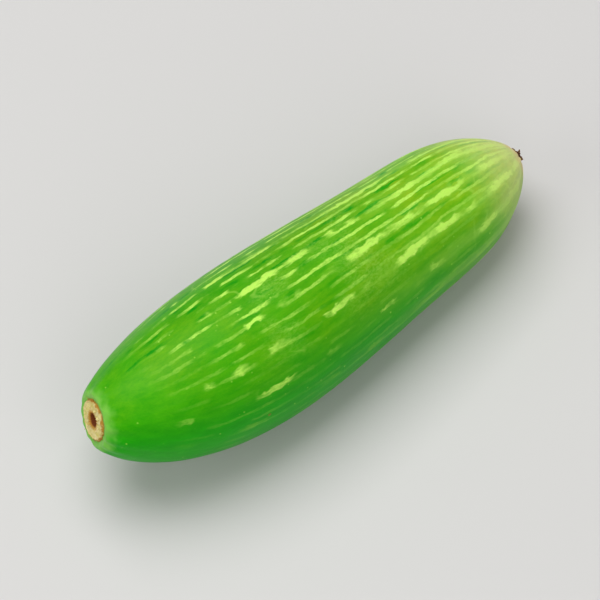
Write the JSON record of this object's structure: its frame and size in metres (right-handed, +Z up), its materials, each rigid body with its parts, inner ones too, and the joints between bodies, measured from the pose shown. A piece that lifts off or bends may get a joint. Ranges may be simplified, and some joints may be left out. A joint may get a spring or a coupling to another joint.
{
  "type": "ivy gourd",
  "caption": "Picked ivy gourd lying on its side: a small, plump green fruit with broken pale streaks, tapering to a dry flower point, with the corky stub of its stem at the other end.",
  "frame": {"origin": "middle of the gourd's outline, on the surface that it lies on", "axes": "+X from the stem end to the blossom end, -Y towards the outside of the bend, +Z up"},
  "size_m": [0.0634, 0.0186, 0.0189],
  "materials": {
    "skin": "waxy, semi-gloss fresh skin with pale streaks",
    "cork": "dry, matt cork",
    "dry_flower": "dry, matt and shrivelled"
  },
  "bodies": {
    "root": {"fruit": "skin", "stem_stub": "cork", "blossom_remnant": "dry_flower"}
  },
  "joints": []
}
